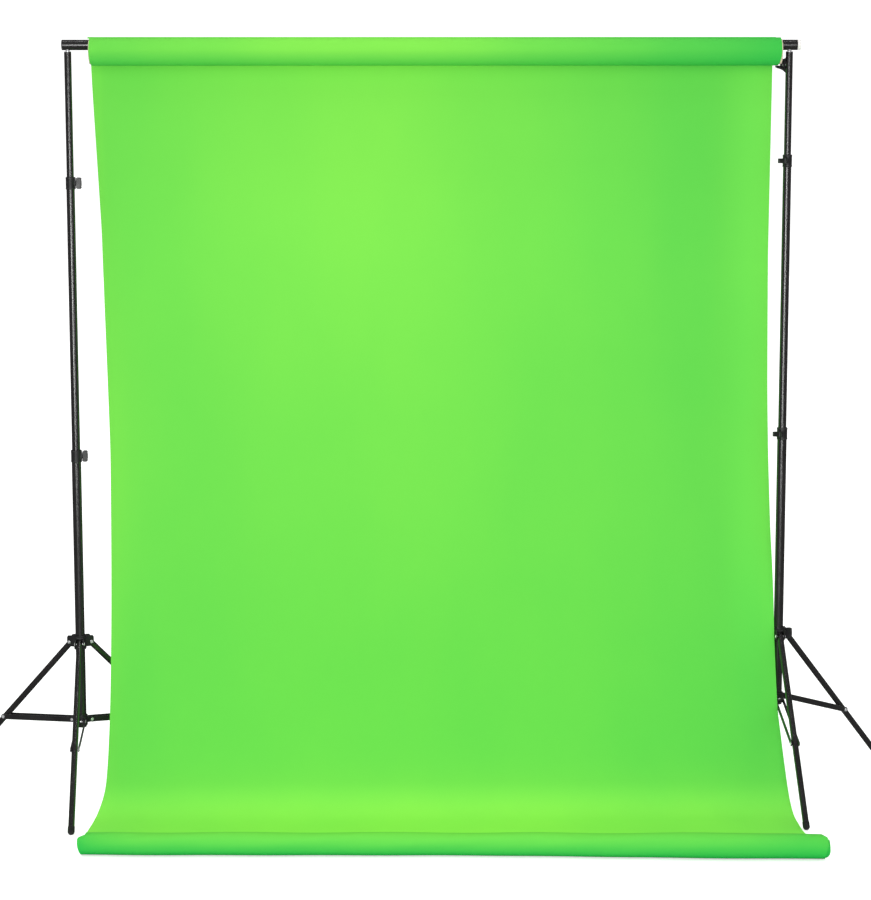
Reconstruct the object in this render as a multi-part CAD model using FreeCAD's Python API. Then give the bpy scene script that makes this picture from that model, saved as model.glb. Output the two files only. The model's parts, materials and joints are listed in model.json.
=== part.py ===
import FreeCAD, Part
import math
import os

# Background support system: two telescopic three-leg stands, a sectional crossbar laid on their
# studs, a roll of background sheet hung on the bar, the sheet that falls from it and sweeps
# forward over the floor to its loose rolled-up end, and a spring clamp on the roll.
# Frame: millimetres, +Z up, +X to the right as seen from the front, the front faces -Y.
# Shapes are drawn with the crossbar's axis over y = 0, then written with the origin on the
# floor, at the middle of the whole footprint.

V = FreeCAD.Vector
ORIGIN_SHIFT = V(16.1, 216.25, 0.0)    # from the drawing's origin to the written one
THROUGH = 40.0                         # length of a cutter that passes right through a part

# ---------------------------------------------------------------- driving dimensions
# Crossbar
BAR_Z = 2066.0                         # axis height
BAR_OD, BAR_ID = 28.0, 25.6
BAR_LEN = 1987.0                       # without the end caps
BAR_CENTRE_X = 6.5
BAR_SECTIONS = 4
SPIGOT_OD, SPIGOT_ID = 25.4, 23.0      # reduced end that enters the next section
SPIGOT_LEN = 60.0
NECK_LEN = 14.0                        # thick wall inside the section, before the spigot
STUD_HOLE_D = 12.6

# Stand tubes
LEFT_X, RIGHT_X = -975.0, 979.0        # stand axes
BASE_OD, BASE_ID = 26.0, 23.6
MID_OD, MID_ID = 22.6, 20.2
TOP_OD, TOP_ID = 19.4, 16.8
BASE_LEN = 766.0                       # lower tube's end to lower collar's middle
MID_SHOW = 749.0                       # lower collar's middle to upper collar's middle
MID_LEN = 810.0                        # middle tube's lower end to upper collar's middle
TOP_LEN = 760.0
TOP_END_Z = 2047.0
TUBE_END_DROP = 4.2                    # outer tube ends this far below its collar's middle
RUN_CLEAR = 0.08                       # radial running clearance
SEAT_CLEAR = 0.02                      # radial clearance of a fixed fit
STUD_D = 11.5
STUD_TOP_Z = BAR_Z + 12.05             # the stud's rim bears inside the bar's upper wall

# Collars and knobs
COLLAR_H = 34.0
COLLAR_WALL = 1.35                     # collar's surface outside the tube it grips
KNOB_STANDOFF = COLLAR_WALL + 3.1      # gripped tube's surface to the knob's inner face
KNOB_DEPTH, KNOB_WIDTH, KNOB_HEIGHT = 14.0, 13.0, 31.0
SCREW_R, SCREW_HOLE_R = 2.95, 3.02
SCREW_GAP = 0.2                        # screw tip to the tube it locks

# Leg linkage
LEG_LEN = 577.3                        # leg pivot to foot centre
LEG_OD, LEG_ID = 16.8, 14.4
LEG_PIVOT_R = 29.0                     # leg pivot from the stand axis
LEG_TUBE_SHORT = 6.0                   # leg tube ends this far above the foot centre
BRACE_AT = 332.9                       # brace rivet from the leg pivot, along the leg
BRACE_LEN = 235.8                      # pivot to pivot
SPREADER_PIVOT_R = 26.0                # brace pivot from the stand axis
SPREADER_PIVOT_H = 20.0                # brace pivot above the lower tube's end
FOOT_R = 9.3
FOOT_Z = 8.5                           # foot ball's centre height, so its sole is cut flat
CHEEK_GAP = 9.25                       # leg's middle plane to a hub cheek
CHEEK_T = 3.2
STRIP_IN, STRIP_T, STRIP_W = 9.5, 2.0, 15.0  # brace: inner face offset, thickness, width
STRIP_OUT = STRIP_IN + STRIP_T
PIN_R = 3.0
HUB_KNOB_RISE = 6.0                    # hub knob's axis above the leg pivots
HUB_KNOB_R = 24.5                      # hub knob's inner face from the stand axis

# Roll, sheet and loose roll
CORE_OD, CORE_ID = 68.4, 63.4
ROLL_OD = 76.0
ROLL_X0, ROLL_X1 = -913.0, 954.0
CORE_STICK_OUT = 2.5
ROLL_Z = BAR_Z + BAR_OD / 2 - CORE_ID / 2 + 0.06   # the core hangs on the bar
SHEET_T = 1.6
SHEET_Y = 39.2                         # middle of the sheet's thickness where it hangs
SHEET_SPLIT_Z = 1250.0                 # top of the sheet's lower length
SHEET_SPLIT_GAP = 0.4                  # free space between the two lengths
SHEET_FLOOR_Z = 1.1                    # middle of the sheet's thickness on the floor
FLOOR_ROLL_R, FLOOR_ROLL_WALL = 25.0, 9.0
FLOOR_ROLL_X0, FLOOR_ROLL_X1 = -891.0, 1002.0      # the loose roll's axis lies askew
FLOOR_ROLL_Y0, FLOOR_ROLL_Y1 = -598.0, -656.0
FLOOR_ROLL_Z = FLOOR_ROLL_R + 0.3
SLACK_R = 27.4                         # sheet's last turn, from the loose roll's axis
SLACK_TOUCH = 35.0                     # degrees behind the top where that turn starts
SLACK_END = 100.0                      # degrees past the top where it ends

# Clamp
CLAMP_TIP_X, CLAMP_TIP_Y = 945.0, -13.0
CLAMP_YAW = 55.0                       # degrees from +X towards +Y
CLAMP_REACH = 37.0                     # jaw tips to pivot
CLAMP_PIVOT_Z = 2013.6


# ---------------------------------------------------------------- helpers
def save(name, shapes):
    """Write one node from a list of shapes; its solids stay separate."""
    solids = [solid for shape in shapes for solid in shape.Solids]
    assert solids and all(s.isValid() and s.Volume > 0 for s in solids), name
    out = (solids[0] if len(solids) == 1 else Part.makeCompound(solids)).copy()
    out.translate(ORIGIN_SHIFT)
    out.exportStep("parts/" + name + ".step")


def cylinder(radius, length, base=(0, 0, 0), axis=(0, 0, 1)):
    return Part.makeCylinder(radius, length, V(*base), V(*axis))


def radial(radius, start, length, z=0):
    """Cylinder along local +X."""
    return cylinder(radius, length, (start, 0, z), (1, 0, 0))


def crosswise(radius, x=0, z=0, width=THROUGH):
    """Cylinder along local Y, centred on y = 0."""
    return cylinder(radius, width, (x, -width / 2, z), (0, 1, 0))


def ring(outer_r, inner_r, length, base=(0, 0, 0), axis=(0, 0, 1)):
    direction = V(*axis)
    direction.normalize()
    bore = Part.makeCylinder(inner_r, length + 2.0, V(*base) - direction, direction)
    return cylinder(outer_r, length, base, axis).cut(bore)


def box(x, y, z, size_x, size_y, size_z):
    """Box centred on x, y, z."""
    corner = V(x - size_x / 2, y - size_y / 2, z - size_z / 2)
    return Part.makeBox(size_x, size_y, size_z, corner)


def slab(outline, y0, y1):
    """Closed polygon of (x, z) points, extruded from y0 to y1."""
    points = [V(x, y0, z) for x, z in outline]
    points.append(points[0])
    return Part.Face(Part.makePolygon(points)).extrude(V(0, y1 - y0, 0))


def dress(shape, operation, size, pick):
    edges = [edge for edge in shape.Edges if pick(edge)]
    # Guards against edges the kernel can't dress; the shape then stays sharp.
    try:
        out = operation(size, edges)
        if out.isValid() and out.Volume > 0:
            return out
    except Exception:
        pass
    return shape


def soften(shape, radius, pick=lambda edge: True):
    return dress(shape, shape.makeFillet, radius, pick)


def bevel(shape, size, pick):
    return dress(shape, shape.makeChamfer, size, pick)


def is_circle(edge, radius):
    curve = edge.Curve
    return curve.TypeId == "Part::GeomCircle" and abs(curve.Radius - radius) < 0.02


def is_crosswise(edge):
    first, last = edge.Vertexes[0], edge.Vertexes[-1]
    return abs(first.X - last.X) < 0.01 and abs(first.Z - last.Z) < 0.01


def is_level_in_y(edge):
    return abs(edge.Vertexes[0].Y - edge.Vertexes[-1].Y) < 0.01


def at_azimuth(shape, azimuth, x=0, z=0):
    """Turn local +X (outwards) to an azimuth, degrees from -Y towards +X, and move to x, z."""
    placed = shape.copy()
    placed.rotate(V(0, 0, 0), V(0, 0, 1), azimuth - 90.0)
    placed.translate(V(x, 0, z))
    return placed


def three_azimuths(front):
    return [front + 120.0 * k for k in range(3)]


def rivet_head(x, z, side, seat, radius, height, rounding):
    """Domed head that stands on the plane y = side * seat."""
    head = cylinder(radius, height, (x, side * seat, z), (0, side, 0))
    rim_y = seat + height
    return soften(head, rounding, lambda edge: is_circle(edge, radius)
                  and abs(abs(edge.CenterOfMass.y) - rim_y) < 0.01)


def rivet(x, z, half_len, head_r, head_h, shank_r=PIN_R):
    """Rivet along local Y with a domed head at each end."""
    body = crosswise(shank_r, x, z, 2 * half_len)
    for side in (-1, 1):
        body = body.fuse(rivet_head(x, z, side, half_len, head_r, head_h, head_h * 0.7))
    return body.removeSplitter()


# ---------------------------------------------------------------- collars and knobs
def knob(x, z, azimuth, turn, tube_r, face_r):
    """T-shaped knob with its inner face at face_r; turn is the T's roll about its screw."""
    reach = face_r - tube_r - SCREW_GAP
    bar = box(0, 0, 0, KNOB_DEPTH, KNOB_WIDTH, KNOB_HEIGHT)
    bar = bevel(bar, 3.0, is_crosswise)
    bar = soften(bar, 1.2)
    bar.translate(V(KNOB_DEPTH / 2, 0, 0))
    body = bar.fuse(radial(5.2, -1.3, 1.6))           # neck
    scallop_r, scallop_depth = 4.2, 1.0               # two hollows in the outer face
    for scallop_z in (-9.0, 9.0):
        body = body.cut(crosswise(scallop_r, KNOB_DEPTH + scallop_r - scallop_depth, scallop_z))
    screw = bevel(radial(SCREW_R, -reach, reach), 0.6,
                  lambda edge: is_circle(edge, SCREW_R) and edge.CenterOfMass.x < 0.1 - reach)
    body = body.fuse(screw).removeSplitter()
    body.rotate(V(0, 0, 0), V(1, 0, 0), turn)
    body.translate(V(face_r, 0, 0))
    return at_azimuth(body, azimuth, x, z)


def collar(outer_r, inner_r, x, z, azimuth):
    """Grips the outer tube below, guides the inner tube above, with a boss for the knob."""
    half = COLLAR_H / 2
    radius = outer_r + COLLAR_WALL
    boss_start = 9.6
    rib_end = radius + 1.2
    body = cylinder(radius, COLLAR_H, (0, 0, -half))
    body = soften(body, 1.6, lambda edge: is_circle(edge, radius))
    boss = radial(7.6, boss_start, radius + 1.7 - boss_start)
    boss = boss.fuse(box((boss_start + rib_end) / 2, 0, 0,
                         rib_end - boss_start, 8.2, COLLAR_H - 3.0))
    body = body.fuse(boss)
    band_h, band_inset = 2.4, 2.0                     # raised rings near both ends
    for band_z in (-half + band_inset, half - band_inset - band_h):
        body = body.fuse(ring(radius + 0.5, radius - 0.9, band_h, (0, 0, band_z)))
    body = body.cut(cylinder(outer_r + SEAT_CLEAR, half + 1.0 - TUBE_END_DROP + 0.1,
                             (0, 0, -half - 1.0)))
    body = body.cut(cylinder(inner_r + RUN_CLEAR, COLLAR_H + 4, (0, 0, -half - 2)))
    body = body.cut(radial(SCREW_HOLE_R, boss_start - 1.0, 12.0))
    # Slit opposite the boss, then a groove on each side of the boss
    body = body.cut(box(-13.0, 0, half - 6.0, 8.0, 1.6, 14.0))
    for groove_y in (6.2, -6.2):
        body = body.cut(box(11.5, groove_y, 0, 9.0, 1.2, 17.0))
    return at_azimuth(body.removeSplitter(), azimuth, x, z)


# ---------------------------------------------------------------- hub and spreader
# Side outline of a hub cheek: (x from the stand axis, z from the leg pivot)
CHEEK_OUTLINE = [(12.0, -12.0), (27.0, -12.0), (33.5, -7.5), (36.3, -1.0),
                 (36.3, 13.5), (33.0, 18.0), (24.0, 19.0), (12.0, 15.0)]
HUB_R, SPREADER_R = 17.0, 16.2
LUG_HALF_WIDTH = STRIP_IN - 0.35


def cut_pivots(body, azimuths, radius, z):
    for azimuth in azimuths:
        body = body.cut(at_azimuth(crosswise(PIN_R + 0.02, radius, z), azimuth))
    return body


def hub(x, z, front_azimuth, knob_azimuth):
    """Sleeve on the lower tube with three pairs of cheeks and a knob boss."""
    body = cylinder(HUB_R, 40.0, (0, 0, -19.0))
    body = soften(body, 1.5, lambda edge: is_circle(edge, HUB_R))
    fork = []
    for side in (-1, 1):
        y0, y1 = sorted((side * CHEEK_GAP, side * (CHEEK_GAP + CHEEK_T)))
        fork.append(soften(slab(CHEEK_OUTLINE, y0, y1), 1.0,
                           lambda edge: is_level_in_y(edge) and edge.CenterOfMass.x > 20))
    # A web above the leg joins the two cheeks
    fork.append(box(19.5, 0, 15.9, 12.0, 2 * CHEEK_GAP + 1.0, 3.2))
    azimuths = three_azimuths(front_azimuth)
    for azimuth in azimuths:
        for piece in fork:
            body = body.fuse(at_azimuth(piece, azimuth))
    body = body.fuse(at_azimuth(radial(7.0, 12.8, 10.2, HUB_KNOB_RISE), knob_azimuth))
    body = body.cut(cylinder(BASE_OD / 2 + RUN_CLEAR, 60, (0, 0, -30)))
    body = cut_pivots(body, azimuths, LEG_PIVOT_R, 0)
    body = body.cut(at_azimuth(radial(SCREW_HOLE_R, 12.0, 14, HUB_KNOB_RISE), knob_azimuth))
    body = body.removeSplitter()
    body.translate(V(x, 0, z))
    return body


def spreader(x, z, front_azimuth):
    """Fixed ring round the end of the lower tube, with three forked lugs for the braces."""
    body = cylinder(SPREADER_R, 30.0, (0, 0, 5.0))
    body = soften(body, 1.4, lambda edge: is_circle(edge, SPREADER_R))
    lug = box(20.5, 0, 0, 13.0, 2 * LUG_HALF_WIDTH, 15.0)
    lug = lug.fuse(crosswise(7.5, SPREADER_PIVOT_R, 0, 2 * LUG_HALF_WIDTH))
    lug = lug.cut(box(30, 0, 0, 26, 7.0, 40))         # gap of the fork
    lug = lug.fuse(box(17.0, 0, 0, 6.0, 18.0, 15.0))  # root
    lug.translate(V(0, 0, SPREADER_PIVOT_H))
    azimuths = three_azimuths(front_azimuth)
    for azimuth in azimuths:
        body = body.fuse(at_azimuth(lug, azimuth))
    body = body.cut(cylinder(BASE_OD / 2 + SEAT_CLEAR, 80, (0, 0, -10)))
    body = cut_pivots(body, azimuths, SPREADER_PIVOT_R, SPREADER_PIVOT_H)
    body = body.removeSplitter()
    body.translate(V(x, 0, z))
    return body


# ---------------------------------------------------------------- legs and braces
def brace_pivot(hub_h, angle):
    """Brace rivet on the leg: (x, z) from the stand axis and the lower tube's end."""
    return (LEG_PIVOT_R + BRACE_AT * math.sin(angle), hub_h - BRACE_AT * math.cos(angle))


def leg_angle(hub_h):
    """Leg angle from vertical, radians, found by bisection so that the brace fits."""
    low, high = 0.2, 1.35
    for _ in range(80):
        middle = (low + high) / 2
        x, z = brace_pivot(hub_h, middle)
        if math.hypot(x - SPREADER_PIVOT_R, z - SPREADER_PIVOT_H) > BRACE_LEN:
            high = middle
        else:
            low = middle
    return (low + high) / 2


def tilt_leg(shape, angle):
    """From the leg's own frame (pivot at the origin, leg along -Z) to the leg pivot."""
    shape.rotate(V(0, 0, 0), V(0, 1, 0), -math.degrees(angle))
    shape.translate(V(LEG_PIVOT_R, 0, 0))
    return shape


def leg(angle):
    """Leg tube with a solid, rounded upper end."""
    tube_len = LEG_LEN - LEG_TUBE_SHORT               # below the pivot
    tube = cylinder(LEG_OD / 2, tube_len + 8.0, (0, 0, -tube_len))
    tube = tube.common(crosswise(9.0).fuse(box(0, 0, -LEG_LEN / 2 - 5, 40, 40, LEG_LEN + 10)))
    tube = tube.cut(cylinder(LEG_ID / 2, tube_len - 22.0, (0, 0, -tube_len - 0.01)))
    tube = tube.cut(crosswise(PIN_R + 0.05))
    return tilt_leg(tube.removeSplitter(), angle)


def foot(x, pivot_z, azimuth, angle):
    """Ball-ended boot over the leg's lower end, its sole cut flat at the floor."""
    boot = cylinder(FOOT_R, 13.0, (0, 0, -LEG_LEN))
    boot = boot.fuse(Part.makeSphere(FOOT_R, V(0, 0, -LEG_LEN)))
    socket_z = -LEG_LEN + LEG_TUBE_SHORT - 0.05
    boot = boot.cut(cylinder(LEG_OD / 2 + SEAT_CLEAR, 60, (0, 0, socket_z)))
    boot = at_azimuth(tilt_leg(boot.removeSplitter(), angle), azimuth, x, pivot_z)
    centre = boot.BoundBox.Center
    return boot.cut(box(centre.x, centre.y, -25.0, 120, 120, 50.0))


def brace_strip(side, end_x, end_z):
    """Round-ended flat strip from the spreader pivot to the brace rivet."""
    y0 = min(side * STRIP_IN, side * STRIP_OUT)
    run, rise = end_x - SPREADER_PIVOT_R, end_z - SPREADER_PIVOT_H
    length = math.hypot(run, rise)
    body = Part.makeBox(length, STRIP_T, STRIP_W, V(0, y0, -STRIP_W / 2))
    for end in (0, length):
        body = body.fuse(cylinder(STRIP_W / 2, STRIP_T, (end, y0, 0), (0, 1, 0)))
    body = body.removeSplitter()
    body.rotate(V(0, 0, 0), V(0, 1, 0), -math.degrees(math.atan2(rise, run)))
    body.translate(V(SPREADER_PIVOT_R, 0, SPREADER_PIVOT_H))
    return body.cut(crosswise(PIN_R + 0.06, SPREADER_PIVOT_R, SPREADER_PIVOT_H))


# ---------------------------------------------------------------- stand
def tube(outer_d, inner_d, z0, z1, x, bush_r=None):
    """A tube; given bush_r, its lower end carries a guide bush as a second solid."""
    body = ring(outer_d / 2, inner_d / 2, z1 - z0, (x, 0, z0))
    solids = [bevel(body, 0.35, lambda edge: is_circle(edge, outer_d / 2))]
    if bush_r:
        lip_h = 1.9
        lip = ring(bush_r, inner_d / 2 - 0.4, lip_h, (x, 0, z0 - lip_h))
        bush = ring(bush_r, outer_d / 2 + 0.01, 28.0, (x, 0, z0 - 0.05))
        solids.append(bush.fuse(lip).removeSplitter())
    return solids


def top_stud(x):
    """Plug in the top tube, a flange on its rim and a grooved pin that enters the crossbar."""
    plug_len = 26.0
    body = cylinder(TOP_ID / 2 - SEAT_CLEAR, plug_len, (x, 0, TOP_END_Z - plug_len))
    body = body.fuse(cylinder(TOP_OD / 2 - 0.3, 1.6, (x, 0, TOP_END_Z + 0.02)))
    pin = cylinder(STUD_D / 2, STUD_TOP_Z - TOP_END_Z, (x, 0, TOP_END_Z))
    pin = bevel(pin, 1.6, lambda edge: is_circle(edge, STUD_D / 2)
                and edge.CenterOfMass.z > STUD_TOP_Z - 1)
    groove = ring(STUD_D / 2 + 2, STUD_D / 2 - 0.9, 2.2, (x, 0, TOP_END_Z + 13.0))
    return body.fuse(pin).cut(groove).removeSplitter()


def stand(side, x, hub_h, azimuth, knob_azimuth, knob_turn, hub_knob_azimuth, hub_knob_turn):
    """hub_h: leg pivots above the lower tube's end; azimuth: that of the front leg."""
    angle = leg_angle(hub_h)
    base_z = FOOT_Z + LEG_LEN * math.cos(angle) - hub_h
    pivot_z = base_z + hub_h
    lower_z = base_z + BASE_LEN
    upper_z = lower_z + MID_SHOW

    save(side + "_base_tube", tube(BASE_OD, BASE_ID, base_z, lower_z - TUBE_END_DROP, x))
    save(side + "_mid_tube", tube(MID_OD, MID_ID, upper_z - MID_LEN, upper_z - TUBE_END_DROP,
                                  x, BASE_ID / 2 - RUN_CLEAR))
    save(side + "_top_tube", tube(TOP_OD, TOP_ID, TOP_END_Z - TOP_LEN, TOP_END_Z,
                                  x, MID_ID / 2 - RUN_CLEAR))
    save(side + "_top_stud", [top_stud(x)])

    for level, z, outer_d, inner_d in (("_lower", lower_z, BASE_OD, MID_OD),
                                       ("_upper", upper_z, MID_OD, TOP_OD)):
        outer_r, inner_r = outer_d / 2, inner_d / 2
        save(side + level + "_collar", [collar(outer_r, inner_r, x, z, knob_azimuth)])
        save(side + level + "_collar_knob",
             [knob(x, z, knob_azimuth, knob_turn, inner_r, outer_r + KNOB_STANDOFF)])

    azimuths = three_azimuths(azimuth)
    hub_rivet = rivet(LEG_PIVOT_R, 0, CHEEK_GAP + CHEEK_T, 4.6, 1.8)
    spreader_rivet = rivet(SPREADER_PIVOT_R, SPREADER_PIVOT_H, STRIP_OUT + 0.15, 4.4, 1.7)
    save(side + "_leg_hub", [hub(x, pivot_z, azimuth, hub_knob_azimuth)])
    save(side + "_hub_knob", [knob(x, pivot_z + HUB_KNOB_RISE, hub_knob_azimuth,
                                   hub_knob_turn, BASE_OD / 2, HUB_KNOB_R)])
    save(side + "_hub_rivets", [at_azimuth(hub_rivet, az, x, pivot_z) for az in azimuths])
    save(side + "_spreader", [spreader(x, base_z, azimuth)])
    save(side + "_spreader_rivets",
         [at_azimuth(spreader_rivet, az, x, base_z) for az in azimuths])

    end_x, end_z = brace_pivot(hub_h, angle)
    strips = [brace_strip(s, end_x, end_z) for s in (-1, 1)]
    heads = [rivet_head(end_x, end_z, s, STRIP_OUT, 4.8, 1.9, 1.2) for s in (-1, 1)]
    for name, az in zip(("front", "right", "left"), azimuths):
        save(side + "_leg_" + name, [at_azimuth(leg(angle), az, x, pivot_z)])
        save(side + "_foot_" + name, [foot(x, pivot_z, az, angle)])
        save(side + "_brace_" + name, [at_azimuth(s, az, x, base_z) for s in strips])
        save(side + "_brace_rivet_" + name, [at_azimuth(h, az, x, base_z) for h in heads])


# ---------------------------------------------------------------- crossbar and roll
def crossbar_section(index, x0, length):
    body = ring(BAR_OD / 2, BAR_ID / 2, length, (x0, 0, BAR_Z), (1, 0, 0))
    if index < BAR_SECTIONS - 1:
        x1 = x0 + length
        neck = ring(BAR_ID / 2 + 0.6, SPIGOT_ID / 2, NECK_LEN,
                    (x1 - NECK_LEN, 0, BAR_Z), (1, 0, 0))
        spigot = ring(SPIGOT_OD / 2, SPIGOT_ID / 2, SPIGOT_LEN + 1.0,
                      (x1 - 1.0, 0, BAR_Z), (1, 0, 0))
        body = body.fuse(neck).fuse(spigot)
    for stud_x in (LEFT_X, RIGHT_X):
        if x0 < stud_x < x0 + length:
            hole_len = BAR_OD / 2 + 4.0               # through the lower wall only
            body = body.cut(cylinder(STUD_HOLE_D / 2, hole_len, (stud_x, 0, BAR_Z - hole_len)))
    return body.removeSplitter()


def end_cap(x, side, thickness):
    disc = cylinder(BAR_OD / 2, thickness, (x + side * 0.02, 0, BAR_Z), (side, 0, 0))
    disc = soften(disc, 1.0, lambda edge: is_circle(edge, BAR_OD / 2)
                  and abs(edge.CenterOfMass.x - x) > 2)
    plug = ring(BAR_ID / 2 - 0.05, BAR_ID / 2 - 2.2, 5.0, (x - side * 4.9, 0, BAR_Z), (side, 0, 0))
    return disc.fuse(plug).removeSplitter()


def crossbar():
    x0 = BAR_CENTRE_X - BAR_LEN / 2
    length = BAR_LEN / BAR_SECTIONS
    save("crossbar_sections",
         [crossbar_section(i, x0 + i * length, length) for i in range(BAR_SECTIONS)])
    save("crossbar_end_caps", [end_cap(x0, -1, 3.2), end_cap(x0 + BAR_LEN, 1, 8.8)])


def roll():
    length = ROLL_X1 - ROLL_X0
    save("roll_core", [ring(CORE_OD / 2, CORE_ID / 2, length + 2 * CORE_STICK_OUT,
                            (ROLL_X0 - CORE_STICK_OUT, 0, ROLL_Z), (1, 0, 0))])
    save("sheet_roll", [ring(ROLL_OD / 2, CORE_OD / 2 + 0.02, length,
                             (ROLL_X0, 0, ROLL_Z), (1, 0, 0))])


# ---------------------------------------------------------------- sheet
# Side edges where the sheet hangs and sweeps: (z, x)
LEFT_EDGE_Z = [(2048, -919), (1950, -916), (1785, -909), (1567, -899), (1348, -895),
               (1126, -890), (959, -886), (400, -886), (53, -885), (32, -888),
               (8, -896), (0, -900)]
RIGHT_EDGE_Z = [(2048, 940), (1500, 938), (1126, 943), (955, 947), (731, 955), (640, 960),
                (540, 963.5), (440, 964), (300, 967), (240, 968), (189, 973), (91, 979),
                (27, 980.5), (0, 980.5)]
# Side edges where it lies on the floor: (y, x)
LEFT_EDGE_Y = [(-300, -900), (-350, -902), (-420, -906), (-480, -900), (-560, -891)]
RIGHT_EDGE_Y = [(-300, 980.5), (-330, 980.5), (-425, 980.5), (-490, 988), (-580, 997)]
FLOOR_EDGE_Y = LEFT_EDGE_Y[0][0]       # the floor tables hold in front of this

# Centre line of the upper length, from the top: z
UPPER_STATIONS = [ROLL_Z, 1950.0, 1785.0, 1567.0, 1348.0, SHEET_SPLIT_Z + SHEET_SPLIT_GAP]
# Control points of the cubic from the hanging part to the floor: (y, z)
SWEEP = [(SHEET_Y, SHEET_SPLIT_Z), (SHEET_Y, 560.0),
         (-45.0, SHEET_FLOOR_Z), (-330.0, SHEET_FLOOR_Z)]


def lookup(table, value):
    """Linear interpolation, held constant past both ends."""
    rows = sorted(table)
    if value <= rows[0][0]:
        return float(rows[0][1])
    for low, high in zip(rows, rows[1:]):
        if value <= high[0]:
            share = (value - low[0]) / float(high[0] - low[0])
            return low[1] + share * (high[1] - low[1])
    return float(rows[-1][1])


def cubic(controls, t):
    """Point (y, z) of a cubic Bezier curve."""
    weights = [(1 - t) ** 3, 3 * t * (1 - t) ** 2, 3 * t * t * (1 - t), t ** 3]
    return tuple(sum(w * point[i] for w, point in zip(weights, controls)) for i in (0, 1))


def axis_y(x):
    """The loose roll's axis at a place along it."""
    share = (x - FLOOR_ROLL_X0) / (FLOOR_ROLL_X1 - FLOOR_ROLL_X0)
    return FLOOR_ROLL_Y0 + share * (FLOOR_ROLL_Y1 - FLOOR_ROLL_Y0)


def side_edges(y, z, askew):
    """(x, y) of the left and the right edge at a station."""
    if askew:
        left_x = lookup(LEFT_EDGE_Y, axis_y(LEFT_EDGE_Y[-1][1]) + y)
        right_x = lookup(RIGHT_EDGE_Y, axis_y(RIGHT_EDGE_Y[-1][1]) + y)
        return (left_x, axis_y(left_x) + y), (right_x, axis_y(right_x) + y)
    if y > FLOOR_EDGE_Y:
        return (lookup(LEFT_EDGE_Z, z), y), (lookup(RIGHT_EDGE_Z, z), y)
    return (lookup(LEFT_EDGE_Y, y), y), (lookup(RIGHT_EDGE_Y, y), y)


def sheet_solid(line):
    """Thin loft along (y, z, askew) stations; askew ones count y from the loose roll's axis."""
    middle = [(y + (axis_y(0.0) if askew else 0.0), z) for y, z, askew in line]
    wires = []
    for i, (y, z, askew) in enumerate(line):
        before = middle[max(0, i - 1)]
        after = middle[min(len(line) - 1, i + 1)]
        step_y, step_z = after[0] - before[0], after[1] - before[1]
        length = math.hypot(step_y, step_z)
        off_y = -step_z / length * SHEET_T / 2
        off_z = step_y / length * SHEET_T / 2
        (left_x, left_y), (right_x, right_y) = side_edges(y, z, askew)
        corners = [V(left_x, left_y + off_y, z + off_z), V(right_x, right_y + off_y, z + off_z),
                   V(right_x, right_y - off_y, z - off_z), V(left_x, left_y - off_y, z - off_z)]
        wires.append(Part.makePolygon(corners + [corners[0]]))
    return Part.makeLoft(wires, True, True)


def lower_line():
    """Sweep to the floor, rise on to the loose roll, then over its top and down its front."""
    line = [cubic(SWEEP, i / 22.0) + (False,) for i in range(23)]
    line.append((-425.0, SHEET_FLOOR_Z, False))
    touch = math.radians(SLACK_TOUCH)
    touch_y = SLACK_R * math.sin(touch)
    touch_z = FLOOR_ROLL_Z + SLACK_R * math.cos(touch)
    handle = 38.0                      # keeps the rise tangent to the turn
    rise = [(135.0, SHEET_FLOOR_Z), (95.0, SHEET_FLOOR_Z),
            (touch_y + handle * math.cos(touch), touch_z - handle * math.sin(touch)),
            (touch_y, touch_z)]
    line += [cubic(rise, i / 8.0) + (True,) for i in range(9)]
    for i in range(1, 14):
        angle = touch - math.radians(SLACK_TOUCH + SLACK_END) * i / 13.0
        line.append((SLACK_R * math.sin(angle), FLOOR_ROLL_Z + SLACK_R * math.cos(angle), True))
    return line


def floor_roll():
    run = V(FLOOR_ROLL_X1 - FLOOR_ROLL_X0, FLOOR_ROLL_Y1 - FLOOR_ROLL_Y0, 0)
    return ring(FLOOR_ROLL_R, FLOOR_ROLL_R - FLOOR_ROLL_WALL, run.Length,
                (FLOOR_ROLL_X0, FLOOR_ROLL_Y0, FLOOR_ROLL_Z), (run.x, run.y, 0))


# ---------------------------------------------------------------- spring clamp
# Clamp frame: x from the jaw tips to the handles, y across, z up, origin at the pivot.
JAW_TOP = ROLL_Z - CORE_ID / 2 + 4.4 - CLAMP_PIVOT_Z      # reference height of the upper jaw
JAW_LOW = ROLL_Z - ROLL_OD / 2 - 0.15 - CLAMP_PIVOT_Z     # and of the lower, under the roll
# Arm outlines: (x, z)
FIXED_ARM = [(-37, JAW_TOP + 0.4), (-37, JAW_TOP + 5.0), (-22, JAW_TOP + 9.5), (-6, 14.5),
             (10, 15.5), (40, 25.0), (42, 20.5), (14, 7.5), (3, 2.0), (-4.5, 3.8),
             (-12, JAW_TOP + 2.9), (-30, JAW_TOP + 0.4)]
MOVING_ARM = [(-37, JAW_LOW - 0.4), (-37, JAW_LOW - 4.6), (-24, JAW_LOW - 7.0), (-8, -11.5),
              (8, -14.0), (40, -25.0), (42, -20.5), (14, -7.5), (3, -2.0), (-8, -4.6),
              (-17, JAW_LOW - 1.6), (-30, JAW_LOW - 0.4)]
# Pivot cheek outline of the upper half, mirrored in z for the lower: (x, z)
PIVOT_CHEEK = [(-8, 10), (8, 10), (7, -3), (3.5, -5.5), (-3.5, -5.5), (-7, -3)]


def clamp_place(shape):
    placed = shape.copy()
    placed.rotate(V(0, 0, 0), V(0, 0, 1), CLAMP_YAW)
    yaw = math.radians(CLAMP_YAW)
    placed.translate(V(CLAMP_TIP_X + CLAMP_REACH * math.cos(yaw),
                       CLAMP_TIP_Y + CLAMP_REACH * math.sin(yaw), CLAMP_PIVOT_Z))
    return placed


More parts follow.
